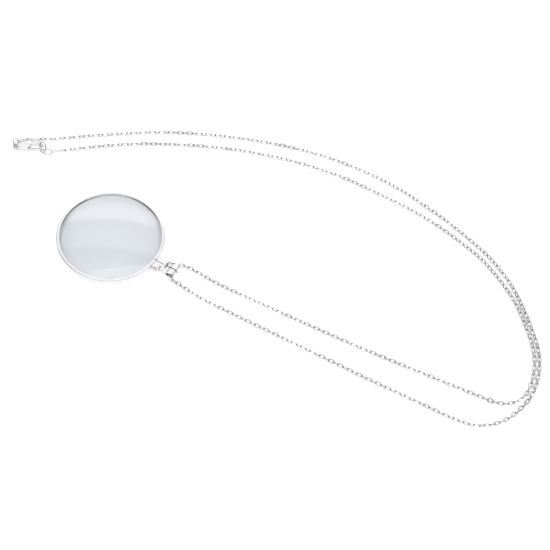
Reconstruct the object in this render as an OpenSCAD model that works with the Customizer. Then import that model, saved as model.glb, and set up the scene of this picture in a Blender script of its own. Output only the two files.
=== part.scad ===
// Magnifying glass pendant on a long cable chain, laid down with its clasp closed.
// The resting surface is z = 0, +X runs along the laid-out chain, and all sizes are millimetres.

/* [Lens] */
// Diameter of the glass lens
lens_d = 43.6; // [30:0.2:52]
// Thickness of the lens at its edge
lens_edge = 1.7; // [1.3:0.1:2.5]
// Rise of the domed top above the lens's edge
lens_rise = 2.6; // [1:0.1:4]
// Clearance between the lens and the rim's channel
lens_gap = 0.1; // [0.05:0.01:0.2]

/* [Rim] */
// Thickness of the rim's outer wall
rim_wall = 0.6; // [0.5:0.05:1]
// Thickness of each lip that holds the lens
rim_lip = 0.5; // [0.35:0.05:0.8]
// How far the lips reach in over the lens
lip_reach = 0.5; // [0.3:0.05:1]
// Rounding of the rim's outer edges
rim_round = 0.3; // [0.1:0.05:0.45]

/* [Closing blocks] */
// Width of each closing block, from the split outwards
block_w = 2.9; // [2.2:0.1:4]
// How far the blocks stand out from the rim
block_reach = 2.7; // [2.3:0.1:4]
// Height of the blocks
block_h = 2.4; // [2:0.1:2.8]
// Rounding of the blocks' outer corners
block_round = 0.6; // [0.2:0.1:1]
// Width of the split that the screw closes
split_w = 0.3; // [0.2:0.05:0.5]
// Diameter of the closing screw
screw_d = 1; // [0.8:0.1:1.2]
// Diameter of the screw's head
screw_head_d = 1.9; // [1.5:0.1:2.2]
// Height of the screw's head
screw_head_h = 0.6; // [0.4:0.1:0.9]
// Width of the slot across the screw's head
screw_slot_w = 0.3; // [0.2:0.05:0.4]

/* [Hinge] */
// Diameter of the hinge pin
pin_d = 0.9; // [0.7:0.1:1.1]
// Radial clearance of the pin in the noses that turn on it
pin_fit = 0.05; // [0.02:0.01:0.08]
// Radius of the noses that carry the magnifier on the pin
nose_r = 1.15; // [1:0.05:1.3]
// Width of each nose, from the split outwards
nose_w = 1.2; // [0.9:0.1:1.5]
// Gap between the noses and the bail's cheeks
cheek_gap = 0.1; // [0.06:0.02:0.2]
// Gap round the turning blocks and noses
turn_gap = 0.2; // [0.15:0.05:0.4]
// How far each end of the pin stands out of the bail
pin_end = 0.15; // [0.05:0.05:0.3]

/* [Bail] */
// Reach of the bail beyond the hinge pin
bail_len = 6.2; // [5.8:0.1:8]
// Width of the bail at the hinge
bail_neck_w = 4.1; // [3.9:0.1:5]
// Width of the bail where it is widest
bail_w = 5.6; // [4.6:0.1:8]
// Height of the bail
bail_h = 3.4; // [3.3:0.1:4.4]
// Thickness of the bail's folded sheet
bail_t = 0.55; // [0.4:0.05:0.6]
// Width of the groove along the bail's middle
groove_w = 0.4; // [0.2:0.1:0.8]
// Depth of the groove along the bail's middle
groove_deep = 0.2; // [0.1:0.05:0.3]

/* [Chain] */
// Width of the cable chain
chain_w = 1.8; // [1.4:0.1:1.9]

/* [End caps] */
// Outer diameter of each end cap
cap_d = 2.55; // [2.4:0.05:3.2]
// Length of each end cap's barrel
cap_len = 4.2; // [3.4:0.1:5]
// Depth to which the chain is seated in the cap
cap_seat = 1.5; // [0.8:0.1:2.5]
// Clearance between the chain and the cap's bore
cap_gap = 0.1; // [0.05:0.01:0.15]
// Rounding of the cap's closed shoulder
cap_round = 0.6; // [0.3:0.1:0.9]
// Middle radius of the eye on each cap
cap_eye_r = 0.85; // [0.8:0.05:1]
// Wire thickness of the cap's eye
cap_eye_wire = 0.5; // [0.4:0.05:0.55]

/* [Rings] */
// Wire thickness of the jump rings
ring_wire = 0.54; // [0.4:0.02:0.56]
// Middle radius of the jump ring in the clasp's tail
tail_ring_r = 1.85; // [1.8:0.05:1.9]
// Middle radius of the tail link's round ends
link_end_r = 0.9; // [0.85:0.05:1]
// Length of the tail link's straight sides
link_side = 3.2; // [3.1:0.05:3.3]
// Middle radius of the catch ring that the claw holds
catch_ring_r = 2.4; // [2.3:0.05:2.5]
// Middle radius of the small ring next to the catch ring
small_ring_r = 2; // [1.9:0.05:2.1]

/* [Clasp] */
// Height of the clasp's shell
shell_h = 2.1; // [1.9:0.1:2.5]
// Length of the clasp's oval shell
shell_len = 4.8; // [4.4:0.1:5.4]
// Width of the clasp's oval shell
shell_w = 3.5; // [3.2:0.1:4]
// Height of the clasp's claw and tail
claw_h = 1.1; // [0.8:0.1:1.4]
// Width of the claw's arm
claw_w = 0.7; // [0.5:0.05:0.8]
// Inner radius of the claw's round end
claw_r = 0.95; // [0.85:0.05:1.1]
// Distance from the tail's eye to the claw's round end
claw_x = 10.1; // [9.5:0.1:11]
// Radius of the hole in the clasp's tail
tail_hole_r = 0.85; // [0.75:0.05:1]
// Wall round the hole in the clasp's tail
tail_wall = 0.7; // [0.5:0.05:0.9]
// Thickness of the lever
lever_h = 0.8; // [0.6:0.05:0.9]
// Gap between the lever and what it moves past
lever_gap = 0.1; // [0.06:0.02:0.15]
// Diameter of the rivet that the lever turns on
rivet_d = 0.7; // [0.5:0.05:0.8]

/* [Hidden] */
fine = 64;
seat_gap = 0.03;      // gap between a fixed pin, screw or rivet and its hole

// lens and rim
lens_r = lens_d / 2;
dome_r = (lens_r * lens_r + lens_rise * lens_rise) / (2 * lens_rise);
lip_r = lens_r - lip_reach;
lip_rise = sqrt(dome_r * dome_r - lip_r * lip_r) - (dome_r - lens_rise);
channel_r = lens_r + lens_gap;
channel_h = lens_edge + lip_rise + 2 * lens_gap;
rim_r = channel_r + rim_wall;
rim_h = channel_h + 2 * rim_lip;
rim_mid = rim_h / 2;

// hinge: the pin's axis stays in place and the magnifier reaches away from it
hinge_place = [-40.9, -9.5];
hinge_turn = -24;
pivot_z = bail_h / 2;
cheek_r = nose_r + 0.05;
nose_reach = cheek_r + turn_gap;
lens_x = -(rim_r + block_reach + nose_reach);
block_face = -nose_reach;
block_y = split_w / 2 + block_w;
nose_y = split_w / 2 + nose_w;
cheek_in = nose_y + cheek_gap;
drop = abs(pivot_z - rim_mid) + block_h / 2;
sweep_r = sqrt(nose_reach * nose_reach + drop * drop);
screw_x = block_face - block_reach / 2;

// bail, measured from the pin
slot_x = nose_r + turn_gap;
leaf_x = sweep_r + turn_gap;
fold_r = bail_h / 2;
fold_x = bail_len - fold_r;
hollow_r = fold_r - bail_t;
hollow_x = slot_x + bail_t;

// chain: its flats are chain_w apart and it rests on the surface
chain_r = chain_w / 2 / cos(22.5);
chain_z = chain_w / 2;
chain_sides = 8;
thread_x = fold_x - 0.2;       // where the chain crosses inside the bail
thread_y = 0.15;               // where its two halves meet
meet_gap = 0.05;

// end caps
cap_bore_r = chain_r + cap_gap;
cap_z = cap_d / 2;
cap_eye_x = cap_len + cap_eye_r + cap_eye_wire / 2 - 0.05;
cap_a_mouth = [-104.9, 47.6];
cap_a_turn = 190;
cap_b_mouth = [-93.2, 43.5];
cap_b_turn = 198;

// clasp, measured from the eye in its tail
clasp_place = [-114.3, 41.8];
clasp_turn = 8;
clasp_z = 1.35;
claw_y = 0.35;
claw_out_r = claw_r + claw_w;
shell_x = 1.4 + shell_len / 2;
tip_x = claw_x - 0.75;
pivot_x = shell_x + 0.3;
pivot_y = claw_y + 0.65;
lever_r = 0.85;
tab_r = 0.4;
tab_reach = 1.75;

// rings: middle, direction of the level diameter, and lean of the ring's plane
tail_ring_place = [-114.5, 43.5, 1.95];
tail_ring_turn = 81;
tail_ring_lean = 61;
tail_link_place = [-112.2, 45.9, 1.15];
tail_link_turn = 204.5;
tail_link_lean = 30;
catch_ring_place = [-102.5, 42.4, 2.41];
catch_ring_turn = -55;
catch_ring_lean = 62;
small_ring_place = [-100.2, 41.1, 1.75];
small_ring_turn = -15;
small_ring_lean = -22;

// the outer half of the chain, from the first end cap round to the bail, then its end in the bail
OUTER_ROUTE = [
  [-99.5, 48.9], [-89.5, 51.8], [-79.8, 54.4], [-58.5, 59.5], [-45.5, 61.5], [-32, 62.6], [-14, 62.8],
  [4, 61.6], [22, 58.4], [40.5, 52.4], [54, 46.2], [65.5, 39], [75.5, 32.3], [85.5, 24.2], [93.5, 16.9],
  [98.5, 11], [102.5, 5.4], [105.9, -1], [109.4, -9.2], [111.9, -16.2], [113.8, -22.2], [114.8, -27.4],
  [115, -32.2], [114.7, -36.8], [113.8, -41.2], [112.5, -45], [110.8, -48.4], [108.3, -51.9],
  [105.5, -55.2], [102.8, -57.8], [99.9, -59.8], [96.9, -61.2], [93.4, -62.3], [89.5, -62.8],
  [85.5, -62.3], [79.5, -60.7], [68, -56.5], [55.5, -52], [42.8, -47.4], [30.4, -42.6], [14.1, -36.5],
  [2.3, -32], [-11, -27], [-23.9, -21.9]
];
// the inner half, from its end in the bail round to the second end cap
INNER_ROUTE = [
  [-18.5, -13.8], [-3.3, -19.3], [13.4, -25.2], [30.2, -31], [43.1, -35.3], [58.8, -40.2],
  [71, -43.9], [83.2, -47.6], [91.2, -50], [95.5, -51.3], [99.2, -51.8], [102.7, -51.4],
  [106.3, -49.6], [109.7, -45.9], [111.5, -41.6], [112.6, -36.9], [113, -32.2], [112.7, -27.4],
  [111.8, -22.6], [110.1, -17.3], [107.4, -9.7], [103.6, -1.9], [99.7, 4.1], [95.5, 9.5],
  [90.3, 15.3], [82, 22], [72.1, 29], [58.9, 36.3], [45.4, 42.2], [27.7, 49], [9.2, 53.5],
  [-8.8, 55.6], [-26.7, 56.1], [-42.1, 55.2], [-57.4, 53.2], [-70.3, 50.6], [-87.5, 45.6]
];
// how the chain leaves the bail on each side: along, across and height, measured from the pin
NEAR_EXIT = [[10.5, -3.75, 0], [7.6, -3.6, 0.05], [6.2, -3.5, 0.35], [5.1, -3.1, 0.7]];
FAR_EXIT = [[4.5, 2.6, 0.8], [5, 3.8, 0.6], [6, 4.7, 0.25], [7.6, 5.25, 0.05], [10.5, 5.4, 0]];

function arc(cx, cy, r, from, to, steps) =
  [for (i = [0:steps]) [cx + r * cos(from + (to - from) * i / steps), cy + r * sin(from + (to - from) * i / steps)]];
function mirrored(half) = concat(half, [for (i = [len(half) - 1:-1:0]) [half[i][0], -half[i][1]]]);
function turned(p, a) = [p[0] * cos(a) - p[1] * sin(a), p[0] * sin(a) + p[1] * cos(a)];
function from_hinge(p) =
  let (q = turned(p, hinge_turn)) [hinge_place[0] + q[0], hinge_place[1] + q[1], p[2]];
function on_surface(route) = [for (p = route) [p[0], p[1], chain_z]];
function lifted(exit) = [for (p = exit) from_hinge([p[0], p[1], chain_z + p[2]])];
function in_cap(mouth, turn, x, z) =
  let (q = turned([x, 0], turn)) [mouth[0] + q[0], mouth[1] + q[1], z];

function ring_points(route, i) =
  let (
    before = route[max(i - 1, 0)],
    after = route[min(i + 1, len(route) - 1)],
    along = (after - before) / norm(after - before),
    level = cross(along, [0, 0, 1]),
    side = level / norm(level),
    up = cross(side, along)
  )
  [for (k = [0:chain_sides - 1])
    let (a = 360 * (k + 0.5) / chain_sides)
    route[i] + chain_r * (cos(a) * side + sin(a) * up)];

module chain_tube(route) {
  rings = len(route);
  points = [for (i = [0:rings - 1]) each ring_points(route, i)];
  walls = [for (i = [0:rings - 2]) for (k = [0:chain_sides - 1])
    let (a = i * chain_sides + k, b = i * chain_sides + (k + 1) % chain_sides)
    [a, b, b + chain_sides, a + chain_sides]];
  first = [for (k = [chain_sides - 1:-1:0]) k];
  last = [for (k = [0:chain_sides - 1]) (rings - 1) * chain_sides + k];
  polyhedron(points = points, faces = concat(walls, [first, last]), convexity = 10);
}

// along the hinge's own frame: +X from the lens to the bail, the pin on the Y axis
module at_hinge() {
  translate([hinge_place[0], hinge_place[1], pivot_z]) rotate([0, 0, hinge_turn]) children();
}

// a round bar along Y, centred on the hinge plane
module bar(x, z, r, y0, y1) {
  translate([x, y0, z]) rotate([-90, 0, 0]) cylinder(r = r, h = y1 - y0, $fn = fine);
}

// a flat outline in X and Z, carried from y0 to y1
module across(y0, y1) {
  translate([0, y1, 0]) rotate([90, 0, 0]) linear_extrude(height = y1 - y0) children();
}

// a flat outline in X and Y, carried up and down from height z
module slab(z, h) {
  translate([0, 0, z - h / 2]) linear_extrude(height = h) children();
}

module rim_section() {
  difference() {
    polygon(concat(
      [[lip_r, 0]],
      arc(rim_r - rim_round, rim_round, rim_round, -90, 0, 4),
      arc(rim_r - rim_round, rim_h - rim_round, rim_round, 0, 90, 4),
      [[lip_r, rim_h]]
    ));
    translate([lip_r - 1, rim_lip]) square([1 + channel_r - lip_r, channel_h]);
  }
}

module block_outline() {
  x0 = -(nose_reach + block_reach + rim_wall * 0.6);
  polygon(concat(
    [[x0, split_w / 2]],
    [[block_face, split_w / 2]],
    arc(block_face - block_round, block_y - block_round, block_round, 0, 90, 5),
    [[x0, block_y]]
  ));
}

module nose_pair() {
  for (side = [-1, 1])
    scale([1, side, 1]) {
      bar(0, 0, nose_r, split_w / 2, nose_y);
      translate([block_face - 0.5, split_w / 2, -nose_r]) cube([0.5 + nose_reach, nose_w, 2 * nose_r]);
    }
}

module rim() {
  color("silver")
  at_hinge()
  difference() {
    union() {
      translate([lens_x, 0, -pivot_z]) rotate_extrude($fn = 180) rim_section();
      slab(rim_mid - pivot_z, block_h) block_outline();
      slab(rim_mid - pivot_z, block_h) mirror([0, 1]) block_outline();
      nose_pair();
    }
    translate([lens_x + lip_r - 1, -split_w / 2, -pivot_z - 1]) cube([1 + bail_len + rim_r, split_w, rim_h + bail_h]);
    bar(0, 0, pin_d / 2 + pin_fit, -block_y, block_y);
    bar(screw_x, rim_mid - pivot_z, screw_d / 2 + seat_gap, -block_y - 1, block_y + 1);
  }
}

module lens() {
  color("lightsteelblue")
  at_hinge()
  translate([lens_x, 0, rim_lip + lens_gap - pivot_z])
  intersection() {
    cylinder(r = lens_r, h = lens_edge + lens_rise + 1, $fn = 180);
    translate([0, 0, lens_edge + lens_rise - dome_r]) sphere(r = dome_r, $fn = 360);
  }
}

module closing_screw() {
  head_y = -block_y - seat_gap;
  z = rim_mid - pivot_z;
  color("gainsboro")
  at_hinge()
  difference() {
    union() {
      bar(screw_x, z, screw_d / 2, head_y, block_y);
      bar(screw_x, z, screw_head_d / 2, head_y - screw_head_h, head_y);
    }
    translate([screw_x - screw_slot_w / 2, head_y - screw_head_h - 1, z - screw_head_d])
      cube([screw_slot_w, 1 + screw_head_h / 2, 2 * screw_head_d]);
  }
}

// side view of the bail, with its outside taken in by a margin
module bail_side(margin) {
  polygon(concat(
    arc(0, 0, cheek_r - margin, 270, 90, 12),
    [[leaf_x, cheek_r - margin]],
    [[(leaf_x + fold_x) / 2, fold_r - margin]],
    arc(fold_x, 0, fold_r - margin, 90, -90, 16),
    [[(leaf_x + fold_x) / 2, margin - fold_r]],
    [[leaf_x, margin - cheek_r]]
  ));
}

module bail_hollow() {
  polygon(concat(
    [[hollow_x, 0]],
    [[(leaf_x + fold_x) / 2, hollow_r]],
    arc(fold_x, 0, hollow_r, 90, -90, 16),
    [[(leaf_x + fold_x) / 2, -hollow_r]]
  ));
}

// top view of the bail: it flares from the hinge and rounds in at its far end
module bail_plan() {
  neck = bail_neck_w / 2;
  wide = bail_w / 2;
  tip = bail_len - fold_x;
  polygon(mirrored([
    [-cheek_r - 1, neck], [0, neck], [(leaf_x + slot_x) / 2, neck + 0.7 * (wide - neck)], [fold_x - 0.9, wide],
    [fold_x - 0.3, wide * 0.99], [fold_x + tip * 0.3, wide * 0.88], [fold_x + tip * 0.65, wide * 0.7],
    [fold_x + tip * 0.88, wide * 0.5], [fold_x + tip + 0.01, wide * 0.3]
  ]));
}

module bail() {
  wide = bail_w / 2 + 1;
  color("silver")
  at_hinge()
  difference() {
    intersection() {
      across(-wide, wide) bail_side(0);
      slab(0, bail_h + 2) bail_plan();
    }
    across(-wide, wide) bail_hollow();
    translate([-cheek_r - 1, -cheek_in, -bail_h]) cube([cheek_r + 1 + slot_x, 2 * cheek_in, 2 * bail_h]);
    bar(0, 0, pin_d / 2 + seat_gap, -wide, wide);
    difference() {
      translate([slot_x - 1, -groove_w / 2, -bail_h]) cube([bail_len + 2, groove_w, 2 * bail_h]);
      across(-wide, wide) bail_side(groove_deep);
    }
  }
}

module bail_pin() {
  end_y = bail_neck_w / 2 + pin_end;
  color("gainsboro")
  at_hinge()
  bar(0, 0, pin_d / 2, -end_y, end_y);
}

module chain_outer() {
  color("lightgray")
  chain_tube(concat(
    [in_cap(cap_a_mouth, cap_a_turn, cap_seat, cap_z)],
    [in_cap(cap_a_mouth, cap_a_turn, -0.6, cap_z)],
    on_surface(OUTER_ROUTE),
    lifted(NEAR_EXIT),
    [for (y = [-2.3, -1, thread_y - meet_gap]) from_hinge([thread_x + (y < -2 ? 0.15 : 0), y, pivot_z])]
  ));
}

module chain_inner() {
  color("lightgray")
  chain_tube(concat(
    [for (y = [thread_y + meet_gap, 1.4]) from_hinge([thread_x, y, pivot_z])],
    lifted(FAR_EXIT),
    on_surface(INNER_ROUTE),
    [in_cap(cap_b_mouth, cap_b_turn, -0.6, cap_z)],
    [in_cap(cap_b_mouth, cap_b_turn, cap_seat, cap_z)]
  ));
}

// a crimped barrel with its mouth at the origin and its eye on +X
module end_cap(mouth, turn) {
  r = cap_d / 2;
  color("silver")
  translate([mouth[0], mouth[1], cap_z]) rotate([0, 0, turn]) {
    rotate([0, 90, 0])
    rotate_extrude($fn = fine)
      polygon(concat(
        [[0, cap_seat + 0.2], [cap_bore_r, cap_seat + 0.2], [cap_bore_r, 0], [r, 0]],
        arc(r - cap_round, cap_len - cap_round, cap_round, 0, 90, 5),
        [[0, cap_len]]
      ));
    translate([cap_eye_x, 0, 0]) rotate([90, 0, 0]) wire_ring(cap_eye_r, cap_eye_wire);
  }
}

module end_cap_a() {
  end_cap(cap_a_mouth, cap_a_turn);
}

module end_cap_b() {
  end_cap(cap_b_mouth, cap_b_turn);
}

module wire_ring(r, wire) {
  rotate_extrude($fn = fine) translate([r, 0]) circle(d = wire, $fn = 24);
}

module leaning(place, turn, lean) {
  translate(place) rotate([0, 0, turn]) rotate([lean, 0, 0]) children();
}

// an oval link: two half rings joined by two straight sides along X
module tail_link() {
  color("silver")
  leaning(tail_link_place, tail_link_turn, tail_link_lean)
  for (side = [-1, 1])
    scale([side, side, 1]) {
      translate([link_side / 2, 0, 0])
        rotate([0, 0, -90]) rotate_extrude(angle = 180, $fn = fine) translate([link_end_r, 0]) circle(d = ring_wire, $fn = 24);
      translate([-link_side / 2, link_end_r, 0]) rotate([0, 90, 0]) cylinder(d = ring_wire, h = link_side, $fn = 24);
    }
}

module tail_ring() {
  color("silver") leaning(tail_ring_place, tail_ring_turn, tail_ring_lean) wire_ring(tail_ring_r, ring_wire);
}

module catch_ring() {
  color("silver") leaning(catch_ring_place, catch_ring_turn, catch_ring_lean) wire_ring(catch_ring_r, ring_wire);
}

module small_ring() {
  color("silver") leaning(small_ring_place, small_ring_turn, small_ring_lean) wire_ring(small_ring_r, ring_wire);
}

module at_clasp() {
  translate([clasp_place[0], clasp_place[1], clasp_z]) rotate([0, 0, clasp_turn]) children();
}

// section of the claw's and the tail's bar, with its corners taken off, at a distance from the Z axis
module bar_section(middle_r, width) {
  w = width / 2;
  h = claw_h / 2;
  c = 0.3 * width;
  translate([middle_r, 0])
    polygon([[-w, c - h], [c - w, -h], [w - c, -h], [w, c - h], [w, h - c], [w - c, h], [c - w, h], [-w, h - c]]);
}

// a straight stretch of the claw's bar along X
module straight_bar(x0, x1, y) {
  translate([x0, y, 0]) rotate([90, 0, 90]) linear_extrude(height = x1 - x0) bar_section(0, claw_w);
}

// the claw: an arm on the near side and a round end that turns back to the lever's tip
module claw() {
  middle = claw_r + claw_w / 2;
  straight_bar(shell_x, claw_x + 0.01, claw_y - middle);
  straight_bar(tip_x, claw_x + 0.01, claw_y + middle);
  translate([claw_x, claw_y, 0]) rotate([0, 0, -90]) rotate_extrude(angle = 180, $fn = fine) bar_section(middle, claw_w);
}

module shell_outline() {
  polygon([for (a = [0:10:350]) [shell_x + shell_len / 2 * cos(a), claw_y - 0.05 + shell_w / 2 * sin(a)]]);
}

module clasp_body() {
  color("silver")
  at_clasp()
  difference() {
    union() {
      claw();
      rotate_extrude($fn = fine) bar_section(tail_hole_r + tail_wall / 2, tail_wall);
      slab(0, claw_h) translate([tail_hole_r + 0.2, -0.9]) square([shell_x - tail_hole_r - 1, 1.8]);
      slab(0, shell_h) shell_outline();
    }
    slab(0, lever_h + 2 * lever_gap) translate([1.95, claw_y - claw_r - 0.02]) square([shell_len + 1, shell_w + 2]);
    translate([pivot_x, pivot_y, 0]) cylinder(d = rivet_d + 2 * seat_gap, h = 4, center = true, $fn = fine);
  }
}

// the lever: a gate that closes the claw, turning on the rivet, with a thumb tab
module clasp_lever() {
  color("silver")
  at_clasp()
  difference() {
    union() {
      translate([pivot_x, pivot_y, -lever_h / 2]) cylinder(r = lever_r, h = lever_h, $fn = fine);
      translate([pivot_x, pivot_y + tab_reach - tab_r, -lever_h / 2]) cylinder(r = tab_r, h = lever_h, $fn = fine);
      slab(0, lever_h)
        polygon([
          [pivot_x - tab_r, pivot_y], [pivot_x - tab_r, pivot_y + tab_reach - tab_r],
          [pivot_x + tab_r, pivot_y + tab_reach - tab_r], [pivot_x + 1.2 * tab_r, claw_y + claw_out_r],
          [tip_x - 0.15, claw_y + claw_out_r], [tip_x - 0.15, claw_y + claw_r],
          [pivot_x + 0.9, claw_y + claw_r - 0.1], [pivot_x, pivot_y - 0.6]
        ]);
    }
    translate([pivot_x, pivot_y, 0]) cylinder(d = rivet_d + 2 * pin_fit, h = 4, center = true, $fn = fine);
  }
}

module clasp_rivet() {
  color("gainsboro")
  at_clasp()
  translate([pivot_x, pivot_y, 0]) cylinder(d = rivet_d, h = shell_h + 0.2, center = true, $fn = fine);
}

rim();
lens();
closing_screw();
bail();
bail_pin();
chain_outer();
chain_inner();
end_cap_a();
end_cap_b();
tail_link();
tail_ring();
catch_ring();
small_ring();
clasp_body();
clasp_lever();
clasp_rivet();
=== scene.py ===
import math

import bmesh
import bpy
import numpy as np
from mathutils import Matrix, Vector


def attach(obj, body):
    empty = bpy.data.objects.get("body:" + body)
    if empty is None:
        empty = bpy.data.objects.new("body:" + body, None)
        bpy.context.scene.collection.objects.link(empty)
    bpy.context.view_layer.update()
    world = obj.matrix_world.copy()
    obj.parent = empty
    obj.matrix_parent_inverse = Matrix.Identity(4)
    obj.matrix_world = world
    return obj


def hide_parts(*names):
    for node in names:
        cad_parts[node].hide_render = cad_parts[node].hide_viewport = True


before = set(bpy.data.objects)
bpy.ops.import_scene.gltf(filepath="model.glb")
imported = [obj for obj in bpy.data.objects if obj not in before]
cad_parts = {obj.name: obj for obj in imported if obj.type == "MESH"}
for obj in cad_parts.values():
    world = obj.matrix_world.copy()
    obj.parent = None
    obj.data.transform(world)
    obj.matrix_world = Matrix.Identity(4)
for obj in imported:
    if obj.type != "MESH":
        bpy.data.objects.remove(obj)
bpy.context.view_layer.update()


# Table and camera. The necklace lies on a plain white table, seen from a little over half way up to
# overhead. The camera is turned by a few degrees about its own line of sight.
class Socket:
    """One output of a shader node. + - * / on it add Math nodes, so shader maths reads as arithmetic."""

    def __init__(self, surface, output):
        self.surface = surface
        self.output = output

    def __add__(self, other):
        return self.surface.math("ADD", self, other)

    def __sub__(self, other):
        return self.surface.math("SUBTRACT", self, other)

    def __rsub__(self, other):
        return self.surface.math("SUBTRACT", other, self)

    def __mul__(self, other):
        return self.surface.math("MULTIPLY", self, other)

    def __truediv__(self, other):
        return self.surface.math("DIVIDE", self, other)

    def __rtruediv__(self, other):
        return self.surface.math("DIVIDE", other, self)

    def __abs__(self):
        return self.surface.math("ABSOLUTE", self)

    __radd__ = __add__
    __rmul__ = __mul__


class Surface:
    """A node tree being wired up, of a material or of the world."""

    # A Mix node has number, vector and colour sockets of the same names, so its colour ones go by place.
    MIX_FACTOR = 0
    MIX_FROM = 6
    MIX_TO = 7
    MIX_COLOUR = 2

    def __init__(self, owner):
        owner.use_nodes = True
        self.owner = owner
        self.tree = owner.node_tree
        self.tree.nodes.clear()

    def node(self, kind, settings=None, sockets=None, output=0):
        """Adds a node, sets it up, then fills or links its sockets. Gives back one of its outputs."""
        made = self.tree.nodes.new(kind)
        for name, value in (settings or {}).items():
            if name == "stops":
                ramp = made.color_ramp.elements
                while len(ramp) < len(value):
                    ramp.new(0.5)
                for stop, (place, shade) in zip(ramp, value):
                    stop.position = place
                    stop.color = (shade, shade, shade, 1)
            else:
                setattr(made, name, value)
        for name, value in (sockets or {}).items():
            if isinstance(value, Socket):
                self.tree.links.new(value.output, made.inputs[name])
            else:
                made.inputs[name].default_value = value
        return Socket(self, made.outputs[output]) if made.outputs else None

    def math(self, operation, *values):
        return self.node("ShaderNodeMath", {"operation": operation}, dict(enumerate(values)))

    def axes(self, kind="Object"):
        """The three coordinates of the point being shaded, or of the direction looked at in the world."""
        place = {"Vector": self.node("ShaderNodeTexCoord", output=kind)}
        return [self.node("ShaderNodeSeparateXYZ", sockets=place, output=axis) for axis in "XYZ"]

    def noise(self, scale, detail=2.0, stretch=1.0):
        place = self.node("ShaderNodeTexCoord", output="Object")
        stretched = self.node("ShaderNodeMapping", sockets={"Vector": place, "Scale": (1, 1, stretch)})
        sockets = {"Vector": stretched, "Scale": scale, "Detail": detail}
        return self.node("ShaderNodeTexNoise", sockets=sockets)

    def ramp_up(self, value, low, high):
        """0 below low, 1 above high, and smooth between them."""
        settings = {"interpolation_type": "SMOOTHSTEP"}
        return self.node("ShaderNodeMapRange", settings, {"Value": value, "From Min": low, "From Max": high})

    def within(self, value, opening, closing):
        """1 between two places and 0 outside them. Each is the pair of values that its soft step spans."""
        return self.ramp_up(value, *opening) * (1 - self.ramp_up(value, *closing))

    def between(self, low, high, factor):
        """A colour that goes from low to high as factor goes from 0 to 1."""
        low, high = (end if isinstance(end, Socket) else (*end, 1) for end in (low, high))
        settings = {"data_type": "RGBA", "clamp_factor": True}
        sockets = {self.MIX_FACTOR: factor, self.MIX_FROM: low, self.MIX_TO: high}
        return self.node("ShaderNodeMix", settings, sockets, output=self.MIX_COLOUR)

    def principled(self, **sockets):
        shader = self.node("ShaderNodeBsdfPrincipled", sockets={
            name.replace("_", " ").title().replace("Ior", "IOR"): value for name, value in sockets.items()
        })
        self.node("ShaderNodeOutputMaterial", sockets={"Surface": shader})


MM = 0.001
TABLE_SIZE = 1.5
TABLE_GAP = 0.02 * MM
CARD_DARK = (0.86, 0.86, 0.86)
CARD_PALE = (0.88, 0.88, 0.88)
CARD_GRAIN = 60
CARD_WORN = 0.75
scene = bpy.context.scene

card = Surface(bpy.data.materials.new("white_card"))
card_tone = card.noise(CARD_GRAIN, detail=3)
card.principled(
    base_color=card.between(CARD_DARK, CARD_PALE, card_tone),
    roughness=CARD_WORN + 0.1 * card_tone,
)
table_mesh = bmesh.new()
bmesh.ops.create_grid(table_mesh, x_segments=8, y_segments=8, size=TABLE_SIZE)
table_data = bpy.data.meshes.new("table")
table_mesh.to_mesh(table_data)
table = bpy.data.objects.new("table", table_data)
table.location.z = -TABLE_GAP
table_data.materials.append(card.owner)
scene.collection.objects.link(table)

CAMERA_RISE = math.radians(57.5)
CAMERA_ROLL = math.radians(7.5)
CAMERA_AWAY = 507.2 * MM
CAMERA_AIM = Vector((4.7, -5.6, 0)) * MM
back = Vector((0, -math.cos(CAMERA_RISE), math.sin(CAMERA_RISE)))
level = Vector((1, 0, 0))
upright = back.cross(level)
turned_right = level * math.cos(CAMERA_ROLL) + upright * math.sin(CAMERA_ROLL)
turned_up = upright * math.cos(CAMERA_ROLL) - level * math.sin(CAMERA_ROLL)
camera_data = bpy.data.cameras.new("camera")
camera_data.lens = 80
camera_data.sensor_width = 36
camera_data.clip_start = 0.01
camera = bpy.data.objects.new("camera", camera_data)
turned = Matrix((turned_right, turned_up, back)).transposed().to_4x4()
camera.matrix_world = Matrix.Translation(CAMERA_AIM + CAMERA_AWAY * back) @ turned
scene.collection.objects.link(camera)
scene.camera = camera


# Studio light. Two soft boxes light the table evenly, and their own faces don't show in the silver. What
# the silver and the lens mirror is a painted room: dim on the camera's side, with a bright strip and a
# black strip overhead, a white band on its far wall, and a dark screen on each side.
ROOM_POWER = 5.2
ROOM_GREYS = [
    (0.0, 0.17), (0.08, 0.12), (0.50, 0.12),  # the camera's side, from the floor to straight overhead
    (0.575, 0.01), (0.625, 0.01),  # the black strip
    (0.645, 0.28), (0.73, 0.24),  # the pale ceiling past it
    (0.755, 0.92), (0.79, 1.0), (0.87, 1.0),  # the white band of the far wall
    (0.93, 0.07), (1.0, 0.17),  # the wall's dark foot
]
WALL_SHADE = 0.8
SCREEN_SHADE = 0.86
GAP_POWER = 0.9
STRIP_POWER = 2.0
STRIP_SLANT = 0.10
room = Surface(bpy.data.worlds.new("room"))
x, y, z = room.axes("Generated")
# 0 is level on the camera's side, 0.5 straight overhead and 1 level on the far side.
over = room.math("ARCTAN2", z, 0 - y) / math.pi
walls = room.node("ShaderNodeValToRGB", {"stops": ROOM_GREYS}, {"Fac": over})
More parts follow.
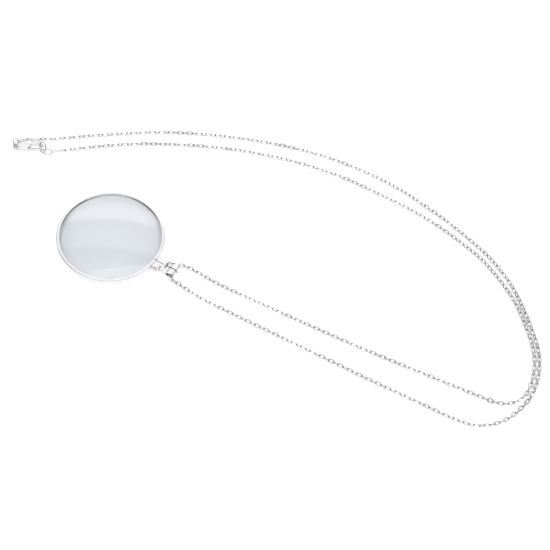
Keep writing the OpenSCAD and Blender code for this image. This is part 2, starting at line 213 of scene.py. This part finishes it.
# The white band is dimmer at the right, and the right screen has a lit gap in it.
wall_right = room.ramp_up(x, 0.12, 0.32) * room.within(over, opening=(0.70, 0.76), closing=(0.87, 0.93))
screens = room.ramp_up(abs(x), 0.42, 0.50) * room.ramp_up(z, 0.06, 0.16)
gap = room.ramp_up(x, 0.30, 0.40) * room.within(y, opening=(-0.05, 0.05), closing=(0.36, 0.44))
strip = room.ramp_up(over, 0.47, 0.50) * (1 - room.ramp_up(over - STRIP_SLANT * x, 0.568, 0.576))
room_seen = walls * (1 - WALL_SHADE * wall_right) * (1 - SCREEN_SHADE * screens)
shown = ROOM_POWER * room_seen + STRIP_POWER * strip * (1 - screens) + GAP_POWER * gap
background = room.node("ShaderNodeBackground", sockets={"Strength": shown})
room.node("ShaderNodeOutputWorld", sockets={"Surface": background})
scene.world = room.owner
for name, place, width, depth, watts in (
    ("soft_box_over", (0.0, -0.36, 1.05), 1.3, 0.8, 13.0),
    ("soft_box_front", (0.0, -1.25, 0.6), 1.0, 0.5, 4.0),
):
    lamp_data = bpy.data.lights.new(name, "AREA")
    lamp_data.shape = "RECTANGLE"
    lamp_data.size = width
    lamp_data.size_y = depth
    lamp_data.energy = watts
    lamp = bpy.data.objects.new(name, lamp_data)
    lamp.location = place
    lamp.rotation_euler = Vector(place).to_track_quat("Z", "Y").to_euler()
    lamp.visible_glossy = False
    scene.collection.objects.link(lamp)
scene.view_settings.view_transform = "Standard"
scene.cycles.blur_glossy = 0.0


# Lens. One disc of clear crown glass with a faint blue tint, ground flat below and domed above, with a
# fine chamfer round its edge. It lies in the rim's channel, a little over the table, held by its two lips.
HINGE_X = -40.9
HINGE_Y = -9.5
HINGE_Z = 1.7
HINGE_TURN = math.radians(-24)


def at_hinge(along, across, up):
    """A point of the hinge's own frame, in mm: along from lens to bail, across, and up from the pin."""
    return Vector((
        HINGE_X + along * math.cos(HINGE_TURN) - across * math.sin(HINGE_TURN),
        HINGE_Y + along * math.sin(HINGE_TURN) + across * math.cos(HINGE_TURN),
        HINGE_Z + up,
    )) * MM


def stand_in(data, name, material, body, node):
    """Puts a mesh in the scene with its material, and lets it ride a body in place of a node."""
    data.materials.append(material)
    made = bpy.data.objects.new(name, data)
    scene.collection.objects.link(made)
    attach(made, body)
    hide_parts(node)


# The lens's middle, foot and sizes are in mm, in the hinge's frame.
LENS_X = -26.6
LENS_FOOT = 0.6 - HINGE_Z
LENS_R = 21.8
LENS_H = 1.7
LENS_RISE = 2.6
CHAMFER = 0.12
DOME_R = (LENS_R ** 2 + LENS_RISE ** 2) / (2 * LENS_RISE)
DOME_STEPS = 24
DISC_STEPS = 144
LENS_SHARP = math.radians(25)
GLASS_DEEP = (0.714, 0.732, 0.756)
GLASS_CLEAR = (0.724, 0.742, 0.766)
POLISH_GRAIN = 220
POLISH_WORN = 0.012
glass = Surface(bpy.data.materials.new("lens_glass"))
polish = glass.noise(POLISH_GRAIN, detail=3)
glass.principled(
    base_color=glass.between(GLASS_DEEP, GLASS_CLEAR, polish),
    roughness=POLISH_WORN + 0.01 * polish,
    ior=1.5,
    transmission_weight=1.0,
)
shoulder = LENS_FOOT + LENS_H
profile = [(LENS_R - CHAMFER, LENS_FOOT), (LENS_R, LENS_FOOT + CHAMFER), (LENS_R, shoulder - CHAMFER)]
for i in range(DOME_STEPS):
    r = (LENS_R - CHAMFER) * (1 - i / DOME_STEPS)
    profile.append((r, shoulder + LENS_RISE - DOME_R + math.sqrt(DOME_R ** 2 - r * r)))
disc = bmesh.new()
rings = []
for i in range(DISC_STEPS):
    angle = 2 * math.pi * i / DISC_STEPS
    rings.append([
        disc.verts.new(at_hinge(LENS_X + r * math.cos(angle), r * math.sin(angle), up))
        for r, up in profile
    ])
crown = disc.verts.new(at_hinge(LENS_X, 0, shoulder + LENS_RISE))
for one, other in zip(rings, rings[1:] + rings[:1]):
    for k in range(len(profile) - 1):
        disc.faces.new((one[k], other[k], other[k + 1], one[k + 1]))
    disc.faces.new((one[-1], other[-1], crown))
disc.faces.new([ring[0] for ring in reversed(rings)])
bmesh.ops.recalc_face_normals(disc, faces=disc.faces)
lens_data = bpy.data.meshes.new("lens_disc")
disc.to_mesh(lens_data)
lens_data.shade_smooth()
lens_data.set_sharp_from_angle(angle=LENS_SHARP)
stand_in(lens_data, "lens_disc", glass.owner, "magnifier", "lens")


# Rim. A strip of brass rolled to a channel round the lens, its lips bent over the glass and its ends
# soldered to two blocks with the hinge's noses, all silver plated and polished bright.
CLOUD_GRAIN = 140
CLOUD_SHADE = 0.96
CLOUD_WORN = 0.05
LINE_STRETCH = 6
LINE_WORN = 0.03
LINE_DEPTH = 0.002 * MM
# The near black of painted shade, and how much rougher the metal is made under it.
PAINTED_SHADE_BLACK = (0.03, 0.03, 0.03)
PAINTED_SHADE_WORN = 0.4
WELD_GAP = 0.002 * MM
SHARP_EDGE = math.radians(35)
PLATE_EDGE = 0.08 * MM
STEEL_EDGE = 0.05 * MM


def polished(name, shade, grain, worn, painted_shade=lambda plate: 0.0, bare=1.0):
    """Metal with drawing lines as fine as grain, a slight cloud in its polish, and painted shade, near
    black, where it is asked for. worn is how rough it is, and bare is the share of it that no milky skin
    covers."""
    plate = Surface(bpy.data.materials.new(name))
    cloud = plate.noise(CLOUD_GRAIN, detail=4)
    lines = plate.noise(grain, detail=2, stretch=LINE_STRETCH)
    # Painted shade: where this mask is 1, the colour goes near black and the metal rougher.
    painted_shade_mask = painted_shade(plate)
    clouded = plate.between([CLOUD_SHADE * c for c in shade], shade, cloud)
    relief = {"Height": lines, "Distance": LINE_DEPTH, "Strength": 0.4}
    plate.principled(
        base_color=plate.between(clouded, PAINTED_SHADE_BLACK, painted_shade_mask),
        metallic=bare,
        roughness=worn + CLOUD_WORN * cloud + LINE_WORN * lines + PAINTED_SHADE_WORN * painted_shade_mask,
        normal=plate.node("ShaderNodeBump", sockets=relief),
    )
    return plate.owner


def finished(node, material, edge):
    """Gives a node of the frame its finish, and breaks its sharp edges as polishing does."""
    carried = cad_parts[node]
    carried.data.materials.clear()
    carried.data.materials.append(material)
    weld = carried.modifiers.new("one_skin", "WELD")
    weld.merge_threshold = WELD_GAP
    soft = carried.modifiers.new("broken_edges", "BEVEL")
    soft.width = edge
    soft.segments = 2
    soft.limit_method = "ANGLE"
    soft.angle_limit = SHARP_EDGE
    soft.harden_normals = True


silver_rim = polished("silver_rim", shade=(0.85, 0.85, 0.865), grain=2600, worn=0.04)
finished("rim", silver_rim, PLATE_EDGE)


# Closing screw. A tiny slotted screw, turned from steel, that draws the rim's two blocks together and so
# closes the rim on the lens. Its head shows on the near side.
STEEL = (0.80, 0.80, 0.81)
finished("closing_screw", polished("steel_screw", shade=STEEL, grain=3600, worn=0.12), STEEL_EDGE)


# Bail and hinge pin. The bail is a strip of brass folded over the chain, plated. The groove along its middle
# and its far edge are painted dark, as painted shade. The steel pin goes through its two cheeks and the
# rim's noses.
# Painted shade on the bail: half-widths of the dark lines in the groove and at the far edge, in mm, and
# where the edge line runs.
GROOVE_SHADE_HALF = (0.16 * MM, 0.20 * MM)
EDGE_SHADE_HALF = (0.17 * MM, 0.22 * MM)
EDGE_SHADE_OFF = 1.86 * MM
EDGE_SHADE_FLARE = 0.19
EDGE_SHADE_START = (0.1 * MM, 0.4 * MM)
EDGE_SHADE_END = (3.0 * MM, 4.6 * MM)


def bail_painted_shade(plate):
    """Painted shade, in the hinge's frame: a dark line along the middle, and one along the edge as it
    flares.
    """
    x, y = plate.axes()[:2]
    x = x - HINGE_X * MM
    y = y - HINGE_Y * MM
    from_pin = x * math.cos(HINGE_TURN) + y * math.sin(HINGE_TURN)
    off_middle = y * math.cos(HINGE_TURN) - x * math.sin(HINGE_TURN)
    off_edge = off_middle - EDGE_SHADE_OFF - EDGE_SHADE_FLARE * from_pin
    groove = 1 - plate.ramp_up(abs(off_middle), *GROOVE_SHADE_HALF)
    edge = 1 - plate.ramp_up(abs(off_edge), *EDGE_SHADE_HALF)
    return plate.math("MAXIMUM", groove, edge * plate.within(from_pin, EDGE_SHADE_START, EDGE_SHADE_END))


silver_bail = polished("silver_bail", shade=(0.88, 0.88, 0.89), grain=2200, worn=0.20, painted_shade=bail_painted_shade)
finished("bail", silver_bail, PLATE_EDGE)
finished("bail_pin", polished("steel_pin", shade=STEEL, grain=3200, worn=0.12), STEEL_EDGE)


# Chain. About 420 soldered oval links of brass wire, silver plated, each standing across its two
# neighbours, with small flats cut on its sides and faces to make it glitter. It runs from one end cap
# round the bend and through the bail, and back beside itself to the other cap.
OUTER_ROUTE = [
    (-99.5, 48.9), (-89.5, 51.8), (-79.8, 54.4), (-58.5, 59.5), (-45.5, 61.5), (-32, 62.6), (-14, 62.8),
    (4, 61.6), (22, 58.4), (40.5, 52.4), (54, 46.2), (65.5, 39), (75.5, 32.3), (85.5, 24.2), (93.5, 16.9),
    (98.5, 11), (102.5, 5.4), (105.9, -1), (109.4, -9.2), (111.9, -16.2), (113.8, -22.2), (114.8, -27.4),
    (115, -32.2), (114.7, -36.8), (113.8, -41.2), (112.5, -45), (110.8, -48.4), (108.3, -51.9),
    (105.5, -55.2), (102.8, -57.8), (99.9, -59.8), (96.9, -61.2), (93.4, -62.3), (89.5, -62.8),
    (85.5, -62.3), (79.5, -60.7), (68, -56.5), (55.5, -52), (42.8, -47.4), (30.4, -42.6), (14.1, -36.5),
    (2.3, -32), (-11, -27), (-23.9, -21.9),
]
INNER_ROUTE = [
    (-18.5, -13.8), (-3.3, -19.3), (13.4, -25.2), (30.2, -31), (43.1, -35.3), (58.8, -40.2),
    (71, -43.9), (83.2, -47.6), (91.2, -50), (95.5, -51.3), (99.2, -51.8), (102.7, -51.4),
    (106.3, -49.6), (109.7, -45.9), (111.5, -41.6), (112.6, -36.9), (113, -32.2), (112.7, -27.4),
    (111.8, -22.6), (110.1, -17.3), (107.4, -9.7), (103.6, -1.9), (99.7, 4.1), (95.5, 9.5),
    (90.3, 15.3), (82, 22), (72.1, 29), (58.9, 36.3), (45.4, 42.2), (27.7, 49), (9.2, 53.5),
    (-8.8, 55.6), (-26.7, 56.1), (-42.1, 55.2), (-57.4, 53.2), (-70.3, 50.6), (-87.5, 45.6),
]
NEAR_EXIT = [(10.5, -3.75, 0), (7.6, -3.6, 0.05), (6.2, -3.5, 0.35), (5.1, -3.1, 0.7)]
IN_BAIL_NEAR = [(4.45, -2.3), (4.3, -1), (4.3, 0.15)]
IN_BAIL_FAR = [(4.3, 1.4)]
FAR_EXIT = [(4.5, 2.6, 0.8), (5, 3.8, 0.6), (6, 4.7, 0.25), (7.6, 5.25, 0.05), (10.5, 5.4, 0)]
# The caps' mouths, as x, y and the way from the mouth into the cap.
CAP_A = (-104.9, 47.6, math.radians(190))
CAP_B = (-93.2, 43.5, math.radians(198))
IN_CAP = 1.5
BEFORE_CAP = -0.6
CHAIN_Z = 0.9
CAP_Z = 1.275
STEPS_EACH = 24


def in_cap(mouth_x, mouth_y, turn, depth):
    """A point in an end cap, or before it, at a depth from the cap's mouth along the way that it turns."""
    return Vector((mouth_x + depth * math.cos(turn), mouth_y + depth * math.sin(turn), CAP_Z)) * MM


def on_table(route):
    return [Vector((x, y, CHAIN_Z)) * MM for x, y in route]


def by_bail(rising):
    """Points beside the bail, in the hinge's frame, each with its rise over the chain's lying height."""
    return [at_hinge(along, across, CHAIN_Z + up - HINGE_Z) for along, across, up in rising]


def smooth_route(points):
    """A centripetal Catmull-Rom curve through the points, in short steps, and the length run at each."""
    p = np.array([tuple(v) for v in points])
    knots = np.concatenate([[0], np.cumsum(np.sqrt(np.linalg.norm(np.diff(p, axis=0), axis=1)))])
    ends = np.vstack([2 * p[0] - p[1], p, 2 * p[-1] - p[-2]])
    k = np.concatenate([[knots[0] - (knots[1] - knots[0])], knots, [knots[-1] + (knots[-1] - knots[-2])]])
    path = []
    for i in range(1, len(p)):
        t = np.linspace(k[i], k[i + 1], STEPS_EACH, endpoint=i == len(p) - 1)[:, None]
        a1 = ((k[i] - t) * ends[i - 1] + (t - k[i - 1]) * ends[i]) / (k[i] - k[i - 1])
        a2 = ((k[i + 1] - t) * ends[i] + (t - k[i]) * ends[i + 1]) / (k[i + 1] - k[i])
        a3 = ((k[i + 2] - t) * ends[i + 1] + (t - k[i + 1]) * ends[i + 2]) / (k[i + 2] - k[i + 1])
        b1 = ((k[i + 1] - t) * a1 + (t - k[i - 1]) * a2) / (k[i + 1] - k[i - 1])
        b2 = ((k[i + 2] - t) * a2 + (t - k[i]) * a3) / (k[i + 2] - k[i])
        path.append(((k[i + 1] - t) * b1 + (t - k[i]) * b2) / (k[i + 1] - k[i]))
    path = np.vstack(path)
    return path, np.concatenate([[0], np.cumsum(np.linalg.norm(np.diff(path, axis=0), axis=1))])


to_bail = [in_cap(*CAP_A, IN_CAP), in_cap(*CAP_A, BEFORE_CAP)]
to_bail += on_table(OUTER_ROUTE) + by_bail(NEAR_EXIT)
to_bail += [at_hinge(along, across, 0) for along, across in IN_BAIL_NEAR]
from_bail = [at_hinge(along, across, 0) for along, across in IN_BAIL_FAR]
from_bail += by_bail(FAR_EXIT) + on_table(INNER_ROUTE)
from_bail += [in_cap(*CAP_B, BEFORE_CAP), in_cap(*CAP_B, IN_CAP)]
path, run = smooth_route(to_bail + from_bail)
halfway = run[STEPS_EACH * (len(to_bail) - 1)]

LINK_PITCH = 2.07 * MM
LINK_WIRE = 0.28 * MM
LINK_LONG = 1.315 * MM
LINK_WIDE = 0.80 * MM
LINK_CUT = 0.95 * MM
FACE_CUT = 0.225 * MM
LINK_GAP = 0.05 * MM
LOOK_AHEAD = 0.5 * MM
ROUND_STEPS = 24
WIRE_STEPS = 12
links = int(run[-1] / LINK_PITCH)
spots = np.linspace(LINK_WIDE, run[-1] - LINK_WIDE, links)
centres, ahead, behind = (
    np.stack([np.interp(spots + shift, run, path[:, axis]) for axis in range(3)], 1)
    for shift in (0, LOOK_AHEAD, -LOOK_AHEAD)
)
along = ahead - behind
along /= np.linalg.norm(along, axis=1)[:, None]
side = np.cross(along, (0, 0, 1))
side /= np.linalg.norm(side, axis=1)[:, None]
rise = np.cross(side, along)
centres[:, 2] += LINK_CUT + LINK_GAP - CHAIN_Z * MM

# Each link leans by some degrees, so that its flats catch other parts of the room than its neighbours'
# do. The lean is a share for the way that the chain runs in x and in y, a slow wander and some chance.
FLAT_LEAN = (7, 0)
STANDING_LEAN = (-7, -20)
WANDER = (2.5, 5)
WANDER_PERIODS = (23, 41, 67, 113)
WANDER_PHASE = 6.3
CHANCE_LEAN = 3
STANDING_TURN = 90
SEED = 7
chance = np.random.default_rng(SEED)
wander = sum(
    chance.uniform(*WANDER) * np.sin(spots / MM * 2 * math.pi / period + chance.uniform(0, WANDER_PHASE))
    for period in WANDER_PERIODS
)
standing = np.arange(links) % 2 == 1
lean = np.where(standing, along[:, :2] @ STANDING_LEAN, along[:, :2] @ FLAT_LEAN)
lean = lean + wander + chance.uniform(-CHANCE_LEAN, CHANCE_LEAN, links)
twist = np.radians(lean + STANDING_TURN * standing)
across = np.cos(twist)[:, None] * side + np.sin(twist)[:, None] * rise
facing = np.cross(along, across)

# One link, as points along it, across it and through its face, before its flats are cut.
link = []
for i in range(ROUND_STEPS):
    angle = 2 * math.pi * i / ROUND_STEPS
    middle = np.array([LINK_LONG * math.cos(angle), LINK_WIDE * math.sin(angle)])
    out = np.array([LINK_WIDE * math.cos(angle), LINK_LONG * math.sin(angle)])
    out /= np.linalg.norm(out)
    for k in range(WIRE_STEPS):
        turn = 2 * math.pi * k / WIRE_STEPS
        flat = middle + LINK_WIRE * math.cos(turn) * out
        link.append((flat[0], flat[1], LINK_WIRE * math.sin(turn)))
link = np.array(link)
link[:, 1] = np.clip(link[:, 1], -LINK_CUT, LINK_CUT)
link[:, 2] = np.clip(link[:, 2], -FACE_CUT, FACE_CUT)
QUAD = ((0, 0), (1, 0), (1, 1), (0, 1))
skin = [
    tuple((i + a) % ROUND_STEPS * WIRE_STEPS + (k + b) % WIRE_STEPS for a, b in QUAD)
    for i in range(ROUND_STEPS) for k in range(WIRE_STEPS)
]
CUT_SHARP = math.radians(30)
silver_chain = polished("silver_chain", shade=(0.71, 0.71, 0.72), grain=4200, worn=0.06)
for name, node, chosen in (
    ("links_outer", "chain_outer", np.flatnonzero(spots < halfway)),
    ("links_inner", "chain_inner", np.flatnonzero(spots >= halfway)),
):
    verts = np.concatenate([
        centres[n] + link[:, :1] * along[n] + link[:, 1:2] * across[n] + link[:, 2:] * facing[n]
        for n in chosen
    ])
    faces = [tuple(v + m * len(link) for v in quad) for m in range(len(chosen)) for quad in skin]
    chain_data = bpy.data.meshes.new(name)
    chain_data.from_pydata(verts.tolist(), [], faces)
    chain_data.shade_smooth()
    chain_data.set_sharp_from_angle(angle=CUT_SHARP)
    stand_in(chain_data, name, silver_chain, "root", node)


# End caps. Two short barrels pressed from thin brass, crimped on the chain's last links, each with an eye.
# They are plated and only tumbled, so they have a satin, slightly milky skin.
silver_satin = polished("silver_satin", shade=(0.95, 0.95, 0.96), grain=2600, worn=0.35, bare=0.72)
for node in ("end_cap_a", "end_cap_b"):
    finished(node, silver_satin, PLATE_EDGE)


# Rings. Jump rings and one long link of drawn round wire, bent shut and silver plated. They join the two
# caps to the clasp: the link and its ring to the clasp's tail, the other two to its claw.
silver_rings = polished("silver_rings", shade=(0.70, 0.70, 0.71), grain=3000, worn=0.05)
for node in ("tail_link", "tail_ring", "catch_ring", "small_ring"):
    finished(node, silver_rings, PLATE_EDGE)


# Clasp. A cast lobster claw with a sprung lever that turns on a steel rivet, whose ends are set flush in
# the body. Body and lever are silver plated and polished.
silver_clasp = polished("silver_clasp", shade=(0.84, 0.84, 0.85), grain=1800, worn=0.06)
for node in ("clasp_body", "clasp_lever"):
    finished(node, silver_clasp, PLATE_EDGE)
finished("clasp_rivet", polished("steel_rivet", shade=STEEL, grain=3200, worn=0.12), STEEL_EDGE)
